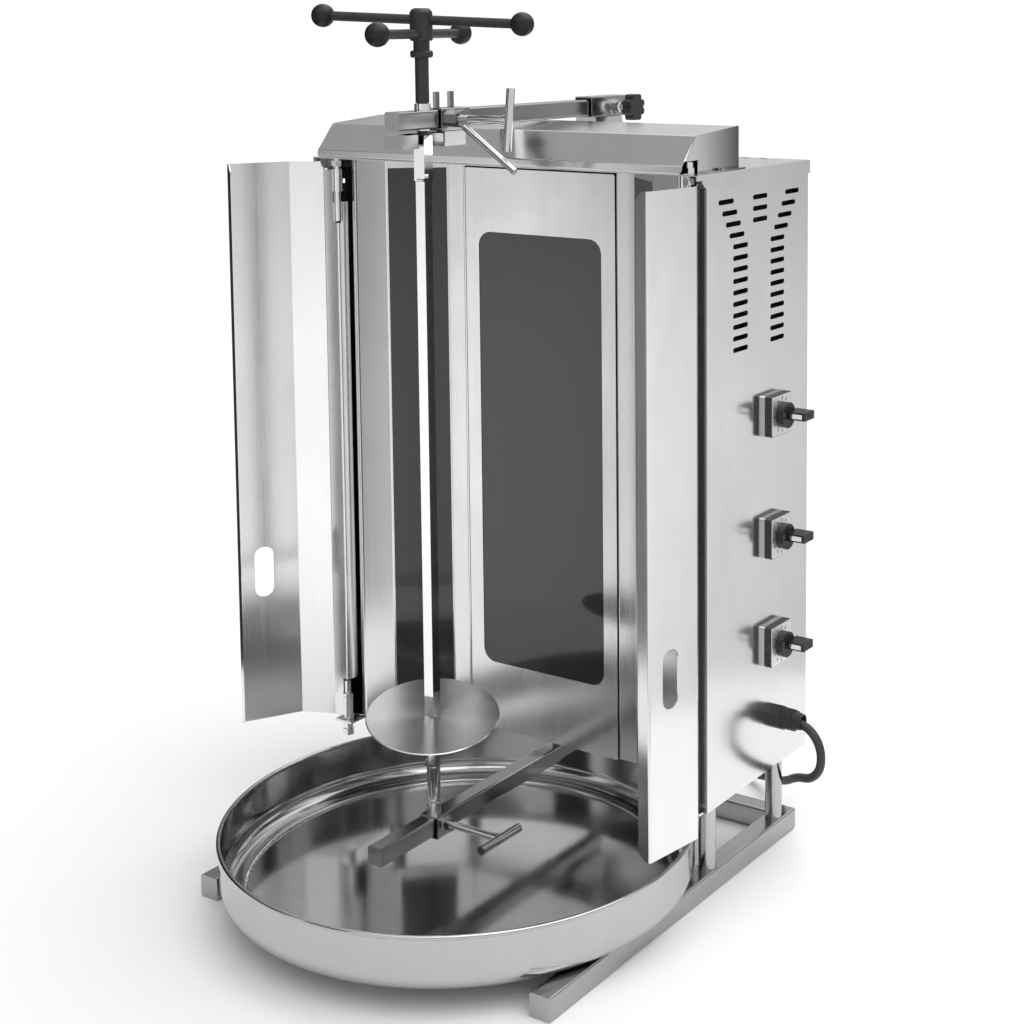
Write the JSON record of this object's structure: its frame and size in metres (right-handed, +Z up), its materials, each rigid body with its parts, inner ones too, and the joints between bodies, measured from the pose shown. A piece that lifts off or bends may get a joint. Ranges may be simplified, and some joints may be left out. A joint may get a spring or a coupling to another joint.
{
  "type": "vertical rotisserie broiler",
  "caption": "Upright electric broiler: hand-turned vertical spit before dark glass heater panels, folding side shields, sliding support arms and a round drip pan.",
  "frame": {"origin": "middle of the underside of the rear cross tube, on the surface the machine stands on", "axes": "+X to the right of a cook facing the spit, +Y to the back of the machine, +Z up"},
  "size_m": [0.6753, 0.7928, 0.9905],
  "materials": {
    "stainless": "fine brushed",
    "polished": "polished",
    "aluminised": "rolled",
    "black_metal": "satin black",
    "black_plastic": "moulded",
    "knob_plastic": "moulded",
    "face_plate": "satin",
    "dark_glass": "polished",
    "quartz": "translucent",
    "fibre": "blanket",
    "rubber": "satin"
  },
  "bodies": {
    "frame": {"left_rail": "stainless", "right_rail": "stainless", "rear_cross_tube": "stainless", "support_posts": "stainless", "floor_plate": "stainless", "left_side_panel": "stainless", "right_side_panel": "stainless", "back_panel": "stainless", "top_cover": "stainless", "hood_shell": "stainless", "hood_end_plates": "polished", "left_wing": "stainless", "right_wing": "stainless", "left_wing_glass": "dark_glass", "right_wing_glass": "dark_glass", "centre_panel": "stainless", "centre_glass": "dark_glass", "glass_retainer": "aluminised", "heating_tubes": "quartz", "reflector_trays": "aluminised", "insulation_block": "fibre", "terminal_block": "knob_plastic", "switch_bodies": "knob_plastic", "hinge_brackets": "stainless", "hinge_bolts": "polished", "lower_arm": "stainless", "arm_stub": "stainless", "rear_sleeve": "stainless", "sleeve_stand": "stainless", "switch_plates": "black_plastic", "switch_faces": "face_plate", "cable_gland": "knob_plastic", "power_cord": "rubber", "cord_coil": "rubber", "mains_plug": "knob_plastic"},
    "left_door": {"left_door": "stainless"},
    "right_door": {"right_door": "stainless"},
    "drip_pan": {"drip_pan": "stainless"},
    "lower_slide": {"lower_collar": "stainless", "seat_boss": "polished"},
    "lower_screw": {"lower_clamp_screw": "polished"},
    "spit": {"spit_shank": "polished", "spit_bar": "polished", "spit_sleeve": "polished", "spit_disc": "polished"},
    "spit_handle": {"spit_top_rod": "black_metal", "handle_hub": "black_metal", "handle_rods": "black_metal", "handle_balls": "black_plastic"},
    "upper_arm": {"upper_arm": "stainless", "spit_bush": "polished"},
    "upper_slide": {"upper_collar": "stainless", "spit_catch": "stainless"},
    "upper_screw": {"upper_clamp_screw": "polished"},
    "catch_lever": {"catch_lever": "polished"},
    "star_knob": {"star_knob": "knob_plastic"},
    "top_switch": {"top_switch_knob": "black_plastic"},
    "middle_switch": {"middle_switch_knob": "black_plastic"},
    "bottom_switch": {"bottom_switch_knob": "black_plastic"}
  },
  "joints": [
    {"name": "left_door_hinge", "type": "hinge", "parent": "frame", "child": "left_door", "pos_m": [-0.246, -0.2395, 0.46], "axis": [0, 0, 1], "range_deg": [0, 68]},
    {"name": "right_door_hinge", "type": "hinge", "parent": "frame", "child": "right_door", "pos_m": [0.246, -0.2395, 0.46], "axis": [0, 0, -1], "range_deg": [-37.5, 31]},
    {"name": "drip_pan_slide", "type": "slide", "parent": "frame", "child": "drip_pan", "axis": [0, -1, 0], "range_m": [0, 0.2]},
    {"name": "lower_collar_slide", "type": "slide", "parent": "frame", "child": "lower_slide", "axis": [0, 1, 0], "range_m": [-0.04, 0.055]},
    {"name": "lower_clamp_screw_turn", "type": "hinge", "parent": "lower_slide", "child": "lower_screw", "pos_m": [0.05, -0.3675, 0.0989], "axis": [1, 0, 0], "continuous": true},
    {"name": "spit_spin", "type": "hinge", "parent": "lower_slide", "child": "spit", "pos_m": [0, -0.373, 0.5], "axis": [0, 0, 1], "continuous": true},
    {"name": "spit_handle_lift", "type": "slide", "parent": "spit", "child": "spit_handle", "axis": [0, 0, 1], "range_m": [0, 0.022]},
    {"name": "upper_arm_slide", "type": "slide", "parent": "frame", "child": "upper_arm", "axis": [0, 1, 0], "range_m": [-0.04, 0.055]},
    {"name": "upper_collar_slide", "type": "slide", "parent": "upper_arm", "child": "upper_slide", "axis": [0, 1, 0], "range_m": [-0.006, 0.008]},
    {"name": "upper_clamp_screw_turn", "type": "hinge", "parent": "upper_slide", "child": "upper_screw", "pos_m": [0.05, -0.3365, 0.8685], "axis": [1, 0, 0], "continuous": true},
    {"name": "catch_lever_turn", "type": "hinge", "parent": "upper_slide", "child": "catch_lever", "pos_m": [0.0267, -0.3365, 0.8685], "axis": [-1, 0, 0], "range_deg": [-15, 100]},
    {"name": "star_knob_turn", "type": "hinge", "parent": "frame", "child": "star_knob", "pos_m": [0.04, -0.0325, 0.8685], "axis": [1, 0, 0], "continuous": true},
    {"name": "top_switch_turn", "type": "hinge", "parent": "frame", "child": "top_switch", "pos_m": [0.29, -0.094, 0.533], "axis": [1, 0, 0], "range_deg": [-90, 90]},
    {"name": "middle_switch_turn", "type": "hinge", "parent": "frame", "child": "middle_switch", "pos_m": [0.29, -0.094, 0.3943], "axis": [1, 0, 0], "range_deg": [-90, 90]},
    {"name": "bottom_switch_turn", "type": "hinge", "parent": "frame", "child": "bottom_switch", "pos_m": [0.29, -0.094, 0.2695], "axis": [1, 0, 0], "range_deg": [-90, 90]}
  ],
  "couplings": [
    {"joint": "upper_arm_slide", "follows": "lower_collar_slide", "ratio": 1}
  ]
}
